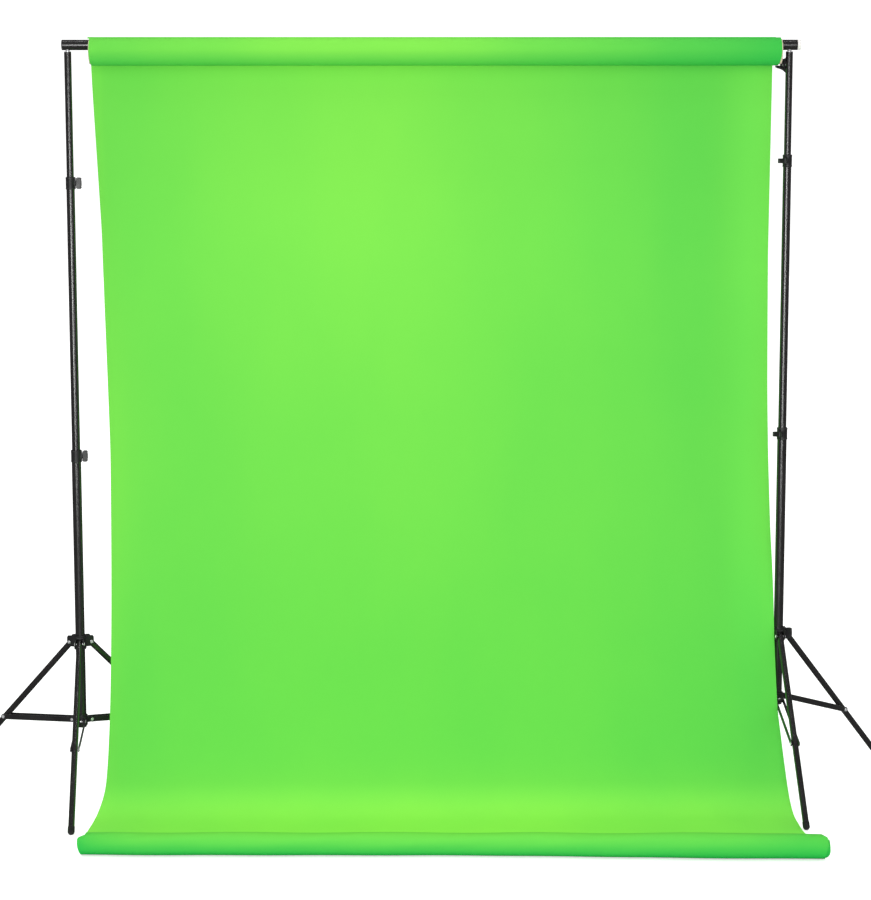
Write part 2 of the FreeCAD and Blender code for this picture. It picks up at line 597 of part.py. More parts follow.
def add_cheeks(body, inner, outer, up):
    for side in (-1, 1):
        y0, y1 = sorted((side * inner, side * outer))
        body = body.fuse(slab([(x, up * z) for x, z in PIVOT_CHEEK], y0, y1))
    return body


def largest_solid(body):
    return max(body.removeSplitter().Solids, key=lambda solid: solid.Volume)


def clamp_fixed_half():
    """Upper half, its pivot cheeks inside the other's."""
    cheek_in = 3.4
    body = slab(FIXED_ARM, -5.4, 5.4)
    for side in (1, -1):
        body = body.cut(box(0, side * 8.05, 0, 17.0, 6.0, 40.0))
    body = add_cheeks(body, cheek_in, 5.0, 1)
    body = body.cut(box(0, 0, 0, 15.0, 2 * cheek_in, 40.0))
    return largest_solid(body.cut(crosswise(2.02)))


def clamp_moving_half():
    """Lower half, its pivot cheeks outside the other's."""
    half_width = 6.6
    body = slab(MOVING_ARM, -half_width, half_width)
    body = body.cut(box(0, 0, -0.5, 17.0, 10.2, 24.0))
    body = add_cheeks(body, 5.15, half_width, -1)
    return largest_solid(body.cut(crosswise(2.06)))


def clamp_pin_and_spring():
    pitch = 1.9
    coils = [Part.makeTorus(3.6, 0.6, V(0, pitch * i, 0), V(0, 1, 0)) for i in (-1, 0, 1)]
    return [rivet(0, 0, 7.0, 3.4, 1.2, 2.0)] + coils


# ---------------------------------------------------------------- build
os.makedirs("parts", exist_ok=True)

LEFT_AZIMUTH = math.degrees(0.0722)
RIGHT_AZIMUTH = math.degrees(0.0330)
stand("left", LEFT_X, hub_h=241.8, azimuth=LEFT_AZIMUTH, knob_azimuth=90.0, knob_turn=0.0,
      hub_knob_azimuth=LEFT_AZIMUTH + 180.0, hub_knob_turn=90.0)
stand("right", RIGHT_X, hub_h=198.7, azimuth=RIGHT_AZIMUTH, knob_azimuth=-35.0, knob_turn=90.0,
      hub_knob_azimuth=RIGHT_AZIMUTH + 60.0, hub_knob_turn=0.0)
crossbar()
roll()
save("sheet_upper", [sheet_solid([(SHEET_Y, z, False) for z in UPPER_STATIONS])])
save("sheet_lower", [sheet_solid(lower_line())])
save("sheet_floor_roll", [floor_roll()])
save("clamp_fixed_half", [clamp_place(clamp_fixed_half())])
save("clamp_moving_half", [clamp_place(clamp_moving_half())])
save("clamp_pin_and_spring", [clamp_place(piece) for piece in clamp_pin_and_spring()])
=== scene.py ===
import json
import math

import bpy
import numpy as np
from mathutils import Matrix, Vector


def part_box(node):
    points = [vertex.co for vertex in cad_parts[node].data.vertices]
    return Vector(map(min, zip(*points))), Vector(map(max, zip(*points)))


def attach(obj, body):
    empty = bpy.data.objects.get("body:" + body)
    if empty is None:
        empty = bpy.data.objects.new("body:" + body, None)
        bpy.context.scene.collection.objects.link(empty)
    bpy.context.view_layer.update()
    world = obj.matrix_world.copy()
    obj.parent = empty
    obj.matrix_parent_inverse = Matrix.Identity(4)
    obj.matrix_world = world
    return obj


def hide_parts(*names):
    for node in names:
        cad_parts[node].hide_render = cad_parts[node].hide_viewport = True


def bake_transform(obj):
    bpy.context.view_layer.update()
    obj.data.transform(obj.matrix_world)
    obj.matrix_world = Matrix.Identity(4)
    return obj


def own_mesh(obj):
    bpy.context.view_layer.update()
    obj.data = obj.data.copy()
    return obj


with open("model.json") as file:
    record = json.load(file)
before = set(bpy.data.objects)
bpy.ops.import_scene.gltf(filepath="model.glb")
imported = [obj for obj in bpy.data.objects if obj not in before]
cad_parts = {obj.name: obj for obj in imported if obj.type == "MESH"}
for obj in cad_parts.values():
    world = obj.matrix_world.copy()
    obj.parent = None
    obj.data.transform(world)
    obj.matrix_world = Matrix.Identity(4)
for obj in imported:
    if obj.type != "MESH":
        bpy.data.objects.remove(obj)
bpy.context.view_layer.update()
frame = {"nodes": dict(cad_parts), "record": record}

# ------------------------------------------------------------------ sizes taken from the frame
LEFT_POST_TO_CENTRE = .975
bar_lo, bar_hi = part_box("crossbar_sections")
post_lo, post_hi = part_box("left_base_tube")
ORIGIN = Vector(((post_lo.x + post_hi.x) / 2 + LEFT_POST_TO_CENTRE, (bar_lo.y + bar_hi.y) / 2, 0))


def box_of(node):
    """Corners of a frame piece, measured from ORIGIN."""
    low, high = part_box(node)
    return Vector(low) - ORIGIN, Vector(high) - ORIGIN


core_lo, core_hi = box_of("roll_core")
wound_lo, wound_hi = box_of("sheet_roll")
upper_lo, upper_hi = box_of("sheet_upper")
loose_lo, loose_hi = box_of("sheet_floor_roll")

ROLL_Z = (wound_lo.z + wound_hi.z) / 2
ROLL_RADIUS = (wound_hi.z - wound_lo.z) / 2
CORE_RADIUS = (core_hi.z - core_lo.z) / 2
SHEET_Y = (upper_lo.y + upper_hi.y) / 2
SHEET_THICK = upper_hi.y - upper_lo.y
SPLIT_Z = upper_lo.z            # seam between the hanging sheet and the sweep
LOOSE_RADIUS = (loose_hi.z - loose_lo.z) / 2

# ------------------------------------------------------------------ sizes of the sheet
SEAM_HIGH = 1.75                # above it the sheet bends to the crossbar, below it follows the tube
SEAM_LOW_LIMIT = .062           # the sweep ends at its first row below this; the rest lies still
COLUMNS = 121
FLOOR_SHEET_Z = .0011           # middle of the sheet's thickness where it lies on the floor
LOWEST_Z = .0009
FLOOR_END_Y = -.47              # where the flat length ends and the rise to the loose roll begins
FLOOR_OUTLINE_Y = -.30          # in front of this the outline is given by y instead of z
TOP_OUTLINE_Z = 2.048
RISE_STEPS = 16                 # from the floor to the top of the loose roll
TURN_STEPS = 36                 # from there down its front and under it
TURN_GAP = .0008


def smooth_table(table, half=15):
    """A table of points turned into a fine, rounded curve."""
    points = sorted(table)
    xs = np.array([point[0] for point in points], float)
    ys = np.array([point[1] for point in points], float)
    fine = np.linspace(xs[0], xs[-1], 600)
    values = np.interp(fine, xs, ys)
    kernel = np.hanning(2 * half + 1)
    kernel /= kernel.sum()
    # mirror about the end points, so the ends keep their values
    before = 2 * values[0] - values[half:0:-1]
    after = 2 * values[-1] - values[-2:-half - 2:-1]
    return fine, np.convolve(np.concatenate([before, values, after]), kernel, "valid")


# side edges of the sheet: (z, x) from the roll to the floor, then (y, x) on the floor
LEFT_BY_Z = smooth_table([
    (TOP_OUTLINE_Z, -.919), (1.95, -.916), (1.785, -.909), (1.567, -.899), (1.348, -.895),
    (1.126, -.890), (.959, -.886), (.4, -.886), (.053, -.885), (.032, -.888), (.008, -.896),
    (0, -.900)])
RIGHT_BY_Z = smooth_table([
    (TOP_OUTLINE_Z, .940), (1.5, .938), (1.126, .943), (.955, .947), (.731, .955), (.640, .960),
    (.540, .9635), (.440, .964), (.300, .967), (.240, .968), (.189, .973), (.091, .979),
    (.027, .9805), (0, .9805)])
LEFT_BY_Y = smooth_table([
    (-.30, -.900), (-.35, -.902), (-.42, -.905), (-.50, -.899), (-.56, -.889), (-.60, -.883),
    (-.66, -.880)])
RIGHT_BY_Y = smooth_table([
    (-.30, .9805), (-.33, .9805), (-.425, .9805), (-.49, .988), (-.56, .992), (-.61, .990),
    (-.66, .990)])
# control points (y, z) of the sweep's cubic
SWEEP = [(SHEET_Y, SPLIT_Z), (SHEET_Y, .560), (-.045, FLOOR_SHEET_Z), (-.330, FLOOR_SHEET_Z)]
# (x, shift in y) of the loose roll's axis
LOOSE_BEND = smooth_table([
    (-.95, .0), (-.891, .0), (-.768, -.003), (-.335, .003), (.10, .009), (.30, .006), (.55, .0),
    (.70, -.004), (.85, -.004), (1.05, -.002)], 40)
# (x, radius) of the loose roll's outermost, slack turn
SLACK_RADIUS = smooth_table([
    (-.95, .0250), (-.891, .0252), (-.845, .0260), (-.768, .0266), (.175, .0268), (.428, .0282),
    (.555, .0285), (.680, .0300), (.780, .0306), (.900, .0297), (1.05, .0272)], 30)
# slow waves: depth, wavelength along x, phase, phase per metre of height
RELIEF_WAVES = [(.0032, .86, .6, .35), (.0017, .41, -1.1, -.5), (.0012, .23, 0, 1.8 * math.pi)]


def loose_axis_y(x):
    """The loose roll lies slightly askew, and bends a little."""
    middle = (loose_lo.y + loose_hi.y) / 2
    skew = ((loose_hi.y - loose_lo.y) - 2 * LOOSE_RADIUS) / 2
    share = (x - loose_lo.x) / (loose_hi.x - loose_lo.x)
    return middle + skew * (1 - 2 * share) + np.interp(x, *LOOSE_BEND)


def cubic(controls, t):
    weights = [(1 - t) ** 3, 3 * t * (1 - t) ** 2, 3 * t * t * (1 - t), t ** 3]
    return tuple(sum(w * point[axis] for w, point in zip(weights, controls)) for axis in (0, 1))


def smoothstep(start, end, value):
    t = np.clip((value - start) / (end - start), 0.0, 1.0)
    return t * t * (3 - 2 * t)


# ------------------------------------------------------------------ mesh helpers
def new_mesh(name, verts, faces, loop_normals=None):
    verts = np.asarray(verts, float)
    mesh = bpy.data.meshes.new(name)
    mesh.from_pydata((verts + (ORIGIN.x, ORIGIN.y, 0)).tolist(), [], faces)
    mesh.update()
    # each point remembers where it lies at rest, so that tones stay on the sheet when it moves
    rest = mesh.attributes.new("rest", "FLOAT_VECTOR", "POINT")
    rest.data.foreach_set("vector", verts.astype(np.float32).ravel())
    mesh.polygons.foreach_set("use_smooth", [True] * len(mesh.polygons))
    if loop_normals is not None:
        mesh.normals_split_custom_set(np.array(loop_normals).tolist())
    ob = bpy.data.objects.new(name, mesh)
    bpy.context.scene.collection.objects.link(ob)
    return ob


def normalised(vectors):
    return vectors / (np.linalg.norm(vectors, axis=2, keepdims=True) + 1e-15)


def grid_normals(grid):
    """Normals of a rows x columns x 3 grid: outward on rolls, to the front on the hanging sheet."""
    return normalised(np.cross(np.gradient(grid, axis=0), np.gradient(grid, axis=1)))


def shell_from_grid(name, front, normals, thick):
    """A thin closed sheet. Normals point out of the front face, thick is rows x columns.
    The two sides are smooth, the cut edges are crisp."""
    rows, cols = front.shape[:2]
    count = rows * cols
    verts = np.concatenate([front.reshape(-1, 3), (front - normals * thick[..., None]).reshape(-1, 3)])
    flat_normals = normals.reshape(-1, 3)
    faces, loop_normals = [], []

    def index(i, j):
        return i * cols + j

    def rim(a, b):
        """Cut edge between the front vertices a and b and those behind them."""
        quad = (count + a, count + b, b, a)
        p, q, r, s = (verts[k] for k in quad)
        normal = np.cross(r - p, s - q)
        faces.append(quad)
        loop_normals.extend([normal / np.linalg.norm(normal)] * 4)

    for i in range(rows - 1):
        for j in range(cols - 1):
            quad = (index(i + 1, j), index(i + 1, j + 1), index(i, j + 1), index(i, j))
            faces.append(quad)
            loop_normals += [flat_normals[k] for k in quad]
            faces.append(tuple(count + k for k in reversed(quad)))
            loop_normals += [-flat_normals[k] for k in reversed(quad)]
    for i in range(rows - 1):
        rim(index(i, 0), index(i + 1, 0))
        rim(index(i + 1, cols - 1), index(i, cols - 1))
    for j in range(cols - 1):
        rim(index(0, j + 1), index(0, j))
        rim(index(rows - 1, j), index(rows - 1, j + 1))
    return new_mesh(name, verts, faces, loop_normals)


# ------------------------------------------------------------------ the sheet, row by row
# one surface through the middle of the thickness, from the roll to under the loose roll
even = np.linspace(-1, 1, COLUMNS)
WIDTH_SHARE = 0.5 + 0.5 * np.sign(even) * (1 - (1 - np.abs(even)) ** 1.25)   # closer at the edges
WIDTH_SHARE[0], WIDTH_SHARE[-1] = 0.0, 1.0

row_points, row_thick = [], []


def add_row(x, y, z, thick=SHEET_THICK):
    row_points.append(np.stack(np.broadcast_arrays(x, y, z), axis=1))
    row_thick.append(np.full(COLUMNS, thick))


def span(left, right):
    return left + (right - left) * WIDTH_SHARE


def outline(y, z):
    """The x of the left and right edges."""
    if y > FLOOR_OUTLINE_Y:
        return np.interp(z, *LEFT_BY_Z), np.interp(z, *RIGHT_BY_Z)
    return np.interp(y, *LEFT_BY_Y), np.interp(y, *RIGHT_BY_Y)


def relief(x, z):
    """How far the sheet stands back (+) from its flat surface."""
    strength = smoothstep(2.03, 1.72, z) * smoothstep(0.02, 0.55, z)
    waves = sum(depth * np.sin(2 * np.pi * x / length + phase + climb * z)
                for depth, length, phase, climb in RELIEF_WAVES)
    hollow = 0.0100 * np.exp(-((x - 0.80) / 0.13) ** 2) * smoothstep(0.25, 0.9, z)
    left_curl = 0.0050 * np.exp(-WIDTH_SHARE / 0.030)
    right_curl = -0.0030 * np.exp(-(1 - WIDTH_SHARE) / 0.030)
    return strength * (waves + hollow + left_curl + right_curl)


def rows_over_roll(steps=13, start_angle=118, tip_thick=.0004, gap=.00012):
    """Over the top of the roll from its front to its back; the front end is thinned."""
    inner_start = ROLL_RADIUS + gap
    inner_end = SHEET_Y - SHEET_THICK / 2
    for k in range(steps + 1):
        share = k / steps
        angle = math.radians(start_angle - start_angle * k / steps)
        thick = tip_thick + (SHEET_THICK - tip_thick) * share
        radius = inner_start + (inner_end - inner_start) * share + thick / 2
        add_row(span(*outline(0, TOP_OUTLINE_Z)), radius * math.cos(angle),
                ROLL_Z + radius * math.sin(angle), thick)


def rows_hanging(heights):
    for z in heights:
        x = span(*outline(SHEET_Y, z))
        add_row(x, SHEET_Y + relief(x, z), z)


def rows_sweeping(stations, tangent_step=.01):
    for t, y, z in stations:
        before = cubic(SWEEP, max(0, t - tangent_step))
        after = cubic(SWEEP, min(1, t + tangent_step))
        step_y, step_z = after[0] - before[0], after[1] - before[1]
        length = math.hypot(step_y, step_z)
        normal_y, normal_z = -step_z / length, step_y / length     # to the back and down
        x = span(*outline(y, z))
        offset = relief(x, z)
        add_row(x, y + normal_y * offset, z + normal_z * offset)


def rows_on_floor(steps=8, start_y=-.345, bulge=.0016):
    """The flat length, raised a little near the middle."""
    for k, y in enumerate(np.linspace(start_y, FLOOR_END_Y, steps + 1)):
        x = span(*outline(y, 0))
        crest = np.sin(np.pi * k / steps) ** 2 * np.exp(-((x + .1) / .5) ** 2)
        add_row(x, y, FLOOR_SHEET_Z + bulge * crest)


def slack_profile(k, radius):
    """Row k round the loose roll, as distance behind its axis and height."""
    if k <= RISE_STEPS:
        top = 2 * radius + .0012
        controls = [(.118, FLOOR_SHEET_Z), (.070, FLOOR_SHEET_Z), (.046, top), (.004, top)]
        return cubic(controls, k / RISE_STEPS)
    step = k - RISE_STEPS
    angle = math.radians(90 + 6.2 * step)       # 90 is the top, 180 the front
    turn = radius + TURN_GAP - .0010 * step / TURN_STEPS
    return turn * math.cos(angle), radius + .0004 + turn * math.sin(angle)


def rows_round_loose_roll():
    for k in range(RISE_STEPS + 1 + TURN_STEPS):
        left, right = outline(FLOOR_END_Y - .16 * min(1.0, k / RISE_STEPS), 0)
        # past the top the edges run to those of the roll
        left += (-.900 + .007 * smoothstep(26, 42, k) - left) * smoothstep(16, 23, k)
        right += (1.0005 - .0065 * smoothstep(24, 36, k) - right) * smoothstep(15, 19, k)
        x = span(left, right)
        behind, z = slack_profile(k, np.interp(x, *SLACK_RADIUS))
        # the left end is squeezed by a crease; its depth is a share of the roll's radius
        crease = .0016 * np.exp(-(x - left) / .03) * (.5 + .5 * math.sin(k * .42 + 1.0))
        squeeze = crease * smoothstep(12, 18, k) / .026
        y = loose_axis_y(x) + behind * (1 - squeeze)
        z = z * (1 - .6 * squeeze)
        # slow waves along the slack turn
        rise = smoothstep(4, 14, k) * (1 - smoothstep(24, 40, k))
        z += .0011 * np.sin(2 * np.pi * x / .37 + .25 * k) * rise + .0004
        y += .0009 * np.sin(2 * np.pi * x / .29 + 1.3) * smoothstep(10, 20, k)
        add_row(x, y, z, SHEET_THICK * (1 - .5 * smoothstep(16, 40, k)))


rows_over_roll()
rows_hanging(np.linspace(ROLL_Z - .012, SEAM_HIGH, 17))
high_row = len(row_points) - 1
rows_hanging(np.linspace(SEAM_HIGH, SPLIT_Z, 26)[1:])
split_row = len(row_points) - 1
sweep_stations = [(t, *cubic(SWEEP, t)) for t in np.linspace(0, 1, 61)[1:]]
rows_sweeping(sweep_stations)
low_station = next(k for k, (t, y, z) in enumerate(sweep_stations) if z < SEAM_LOW_LIMIT)
low_row = split_row + 1 + low_station
rows_on_floor()
rows_round_loose_roll()

centre = np.array(row_points)
centre[:, :, 2] = np.maximum(centre[:, :, 2], LOWEST_Z)
sheet_thick = np.array(row_thick)
sheet_normals = grid_normals(centre)
for _ in range(3):                      # take the last facets out of the shading
    softened = sheet_normals.copy()
    softened[1:-1] = (sheet_normals[:-2] + 2 * sheet_normals[1:-1] + sheet_normals[2:]) / 4
    sheet_normals = normalised(softened)
sheet_face = centre + sheet_normals * sheet_thick[..., None] / 2


def cut(name, first, last):
    rows = slice(first, last + 1)
    return shell_from_grid(name, sheet_face[rows], sheet_normals[rows], sheet_thick[rows])


sheet_top = cut("sheet_hanging_top", 0, high_row)
sheet_middle = cut("sheet_hanging_middle", high_row, split_row)
sheet_sweep = cut("sheet_sweep", split_row, low_row)
sheet_front = cut("sheet_on_floor", low_row, len(centre) - 1)


# ------------------------------------------------------------------ rolls wound from the sheet
def spiral(name, axis_y, axis_z, outer, inner, turns, thick, left_end, right_end, columns,
           steps, start_angle, dent=None):
    """A strip wound into a roll, rows along the winding and columns along the roll.
    left_end and right_end give x from the winding angle and the share wound so far."""
    rows = int(turns * steps) + 1
    grid = np.zeros((rows, columns, 3))
    cosine = np.cos(np.pi * np.linspace(0, 1, columns))
    along = 0.5 - 0.5 * cosine * (0.75 + 0.25 * np.abs(cosine))
    along = (along - along[0]) / (along[-1] - along[0])
    for i in range(rows):
        share = i / (rows - 1)
        angle = math.radians(start_angle) + 2 * math.pi * turns * share
        left, right = left_end(angle, share), right_end(angle, share)
        x = left + (right - left) * along
        radius = np.full(columns, outer - (outer - inner) * share)
        if dent is not None:
            radius = radius + dent(x, angle)
        grid[i] = np.stack([x, axis_y(x) + radius * math.cos(angle),
                            axis_z + radius * math.sin(angle)], 1)
    thickness = np.full((rows, columns), thick)
    thickness[:6] *= np.linspace(.25, 1, 6)[:, None]        # the outer end is thinned
    return shell_from_grid(name, grid, grid_normals(grid), thickness)


def lower_half(angle):
    """0 on the upper half of a roll, rising to 1 at its underside."""
    return max(0.0, -math.sin(angle))


def wound_left(angle, share):
    # the lower part steps in a little, inner layers stand out unevenly
    step = .0042 * lower_half(angle) ** 2 * (1 - share)
    return wound_lo.x + step + .0012 * math.sin(9 * share + 1) * (share > .15)


def wound_right(angle, share):
    step = .0075 * lower_half(angle) ** 2 * (1 - .6 * share)
    return wound_hi.x - step - .0016 * (1 - math.sin(11 * share)) * .5


def loose_left(angle, share):
    # cut a little wavy, and the inner layers stand back
    return loose_lo.x + .004 + .007 * math.cos(2 * (angle - math.radians(75))) + .006 * share


def loose_right(angle, share):
    return loose_hi.x + .003 - .009 * lower_half(angle) ** 2 - .003 * share


def crumple(x, angle):
    """The left end is flattened by a crease, the rest is only slightly uneven."""
    left = np.exp(-np.maximum(x - loose_lo.x, 0) / .045)
    crease = -.0035 * left * (0.5 + 0.5 * math.sin(2 * angle + .9))
    ripple = .0016 * left * math.sin(5 * angle + 2)
    return crease + ripple - .0004 * (1 + np.sin(2 * np.pi * x / .31 + angle))


TIGHT_RADIUS = LOOSE_RADIUS - .0006     # the tightly wound part of the loose roll


def tight_axis_y(x):
    """The tight part lies against the front of the slack turn."""
    slack = np.interp(x, *SLACK_RADIUS)
    return loose_axis_y(x) - (slack - SHEET_THICK / 2 - TURN_GAP - TIGHT_RADIUS)


wound_roll = spiral(
    "wound_roll", axis_y=np.zeros_like, axis_z=ROLL_Z, outer=ROLL_RADIUS,
    inner=CORE_RADIUS + .0007, turns=4.0, thick=.00045, left_end=wound_left,
    right_end=wound_right, columns=33, steps=80, start_angle=100)
floor_roll = spiral(
    "floor_roll", axis_y=tight_axis_y, axis_z=LOWEST_Z + SHEET_THICK / 2 + TIGHT_RADIUS + .0006,
    outer=TIGHT_RADIUS, inner=TIGHT_RADIUS - .0078, turns=3.6, thick=.0008, left_end=loose_left,
    right_end=loose_right, columns=57, steps=64, start_angle=95, dent=crumple)


# ------------------------------------------------------------------ shader helpers
class Shader:
    """Adds nodes to a tree; methods take and return sockets, and inputs may be plain numbers."""

    def __init__(self, tree):
        self.tree = tree

    def feed(self, socket, value):
        if isinstance(value, tuple):
            socket.default_value = (*value, 1)
        elif isinstance(value, (int, float)):
            socket.default_value = value
        else:
            self.tree.links.new(value, socket)

    def feed_all(self, node, inputs):
        for key, value in inputs.items():
            self.feed(node.inputs[key], value)

    def node(self, kind, inputs=None, **settings):
        node = self.tree.nodes.new("ShaderNode" + kind)
        for key, value in settings.items():
            setattr(node, key, value)
        self.feed_all(node, inputs or {})
        return node

    def coord(self, scale=(1, 1, 1)):
        """Object coordinates about ORIGIN, stretched by scale."""
        source = self.node("TexCoord")
        mapping = self.node("Mapping", {"Vector": source.outputs["Object"]})
        mapping.inputs["Scale"].default_value = scale
        mapping.inputs["Location"].default_value = (-ORIGIN.x * scale[0], -ORIGIN.y * scale[1], 0)
        return mapping.outputs["Vector"]

    def noise(self, vector, scale, detail=2, roughness=.5, distortion=0):
        return self.node("TexNoise", {
            "Vector": vector, "Scale": scale, "Detail": detail, "Roughness": roughness,
            "Distortion": distortion}).outputs["Fac"]

    def remap(self, value, source, to=(0, 1), smooth=False):
        node = self.node("MapRange", dict(enumerate((value, *source, *to))))
        if smooth:
            node.interpolation_type = "SMOOTHSTEP"
        return node.outputs[0]

    def ramp(self, value, *source):
        """Smooth step from 0 to 1 between the two values of source."""
        return self.remap(value, source, smooth=True)

    def math(self, operation, *values):
        return self.node("Math", dict(enumerate(values)), operation=operation).outputs[0]

    def add(self, first, second):
        return self.math("ADD", first, second)

    def subtract(self, first, second):
        return self.math("SUBTRACT", first, second)

    def multiply(self, first, second):
        return self.math("MULTIPLY", first, second)

    def blend(self, factor, first, second):
        """First where factor is 0, second where it is 1."""
        return self.add(self.multiply(first, self.subtract(1.0, factor)),
                        self.multiply(second, factor))

    def either(self, first, second):
        """Two depths of tone laid over one another."""
        return self.subtract(1.0, self.multiply(self.subtract(1.0, first),
                                                self.subtract(1.0, second)))

    def curve(self, value, table, low=0.0, high=1.0):
        """Smooth curve through a table; low to high in the table comes out as 0 to 1."""
        start, end = table[0][0], table[-1][0]
        node = self.node("FloatCurve", {"Value": self.remap(value, (start, end))})
        curve = node.mapping.curves[0]
        points = [((x - start) / (end - start), (y - low) / (high - low)) for x, y in table]
        curve.points[0].location = points[0]
        curve.points[1].location = points[-1]
        for point in points[1:-1]:
            curve.points.new(*point)
        node.mapping.update()
        return node.outputs[0]

    def mix(self, factor, first, second, blend_type="MIX"):
        return self.node("Mix", {0: factor, 6: first, 7: second}, data_type="RGBA",
                         blend_type=blend_type).outputs[2]

    def bump(self, height, strength, distance, **normal):
        return self.node("Bump", {"Strength": strength, "Distance": distance,
                                  "Height": height, **normal}).outputs["Normal"]

    def edge(self, radius, source=(.02, .25)):
        """Mask of the outer edges, from how far the rounded normal leaves the true one."""
        bevel = self.node("Bevel", {"Radius": radius}, samples=4)
        geometry = self.node("NewGeometry")
        dot = self.node("VectorMath", {0: bevel.outputs[0], 1: geometry.outputs["Normal"]},
                        operation="DOT_PRODUCT")
        return self.remap(self.subtract(1.0, dot.outputs["Value"]), source)

    def separate(self, vector):
        return self.node("SeparateXYZ", {0: vector}).outputs


def new_material(name):
    material = bpy.data.materials.new(name)
    material.use_nodes = True
    return material, Shader(material.node_tree), material.node_tree.nodes["Principled BSDF"]


# ------------------------------------------------------------------ the green sheet
# the green as lit and as in shade; the painted light and shade below mix between these two
SHEET_LIT_GREEN = (.184, .646, .067)
SHEET_SHADED_GREEN = (.012, .410, .060)
# painted light and shade, as depth of tone (0 lit, 1 in deep shade) at these x: high up, half way,
# low down, on the floor, on the wound roll and on the loose roll
TONE_X = [-.93, -.897, -.874, -.816, -.704, -.564, -.396, -.228, -.060, .108, .276, .444, .584,
          .724, .836, .906, .934]
TONE_HIGH = [.05, .10, .18, .18, .12, .00, -.05, -.12, -.10, .02, .10, .20, .28, .39, .29, .22, .18]
TONE_HALF = [.00, .01, .02, .12, .19, .17, .10, .10, .07, .11, .20, .21, .26, .32, .30, .23, .16]
TONE_LOW = [.14, .18, .22, .30, .27, .26, .23, .23, .24, .26, .25, .27, .34, .37, .42, .45, .43]
TONE_FLOOR = [-.04, -.02, .02, .04, .00, -.05, -.12, -.12, -.18, -.16, -.17, -.05, .00, .00, .08,
              .09, .12]
TONE_WOUND = [.17, .18, .20, .17, .09, .03, -.16, -.18, -.17, -.06, .18, .31, .44, .61, .67, .74,
              .78]
TONE_LOOSE = [.70, .62, .42, .20, .04, .00, .00, .00, .00, .00, .01, .03, .05, .10, .20, .30, .36]
# painted shade where the loose roll faces down: (upward part of the normal, depth of tone)
UNDERSIDE_PAINTED_SHADE = [(-1.0, 1.0), (-.83, .98), (-.43, .80), (-.02, .64), (.36, .43), (.67, .27),
                  (.93, .13), (1.0, .02)]
# (y, share of the floor's tone) along the foot of the sweep
FLOOR_SHARE = [(-.40, 1.0), (-.34, 1.0), (-.29, .93), (-.25, .78), (-.215, .58), (-.18, .34),
               (-.152, .14), (-.125, .03), (-.10, .0), (-.06, .0)]
# colour of the cut edges of the rolls' layers
LAYER_END = {"wound": (.42, .58, .36), "loose": (.16, .50, .14)}


def across(b, x, tones):
    return b.curve(x, list(zip(TONE_X, tones)), low=-.18)


def sheet_painted_shade(b, x, y, z, normal_z):
    """Depth of painted light and shade from the top down, then along the floor and round the slack
    turn.
    """
    tone = b.blend(b.ramp(z, 1.70, .95), across(b, x, TONE_HIGH), across(b, x, TONE_HALF))
    tone = b.blend(b.ramp(z, .95, .28), tone, across(b, x, TONE_LOW))
    tone = b.blend(b.curve(y, FLOOR_SHARE), tone, across(b, x, TONE_FLOOR))
    tone = b.blend(b.ramp(z, 1.985, 2.05), tone, across(b, x, TONE_WOUND))
    on_loose = b.ramp(y, -.555, -.585)
    # painted shade where the slack turn round the loose roll faces down
    underside = b.curve(normal_z, UNDERSIDE_PAINTED_SHADE)
    tone = b.blend(on_loose, tone, b.either(b.multiply(tone, .5), underside))
    return b.blend(on_loose, tone, b.either(across(b, x, TONE_LOOSE), tone))


def wound_painted_shade(b, x, normal_z):
    # painted shade along the roll, deeper where it faces down
    return b.either(across(b, x, TONE_WOUND), b.remap(normal_z, (-.95, .05), to=(.52, 0)))


def loose_painted_shade(b, x, normal_z):
    # painted shade: deeper towards the ends of the roll and where it faces down
    right_end = b.remap(x, (.80, .99), to=(0, .55), smooth=True)
    underside = b.curve(normal_z, UNDERSIDE_PAINTED_SHADE)
    return b.either(right_end, b.either(across(b, x, TONE_LOOSE), underside))


def sheet_light(b, x, y, z):
    """Factor on the colour where the sheet takes more light; red gains a little extra."""
    flat = b.multiply(b.ramp(z, .075, .004), b.ramp(y, -.58, -.545))
    lift = b.add(1.0, b.multiply(flat, .21))
    # the hollow behind the loose roll
    hollow = b.multiply(b.ramp(y, -.46, -.52), b.ramp(y, -.598, -.572))
    lift = b.add(lift, b.multiply(hollow, .16))
    # the strip beside the right edge
    strip_height = b.multiply(b.remap(z, (.10, .60)), .07)
    lift = b.add(lift, b.multiply(b.ramp(x, .80, .90), strip_height))
    # the band at the height of the roll
    band_top = b.multiply(b.remap(z, (2.06, 2.035)), .08)
    lift = b.add(lift, b.multiply(b.ramp(z, 1.93, 2.0), band_top))
    warm_area = b.math("MAXIMUM", flat, b.multiply(hollow, .85))
    warm = b.multiply(lift, b.add(1.0, b.multiply(warm_area, .17)))
    return b.node("CombineXYZ", {0: warm, 1: lift, 2: lift}).outputs[0]


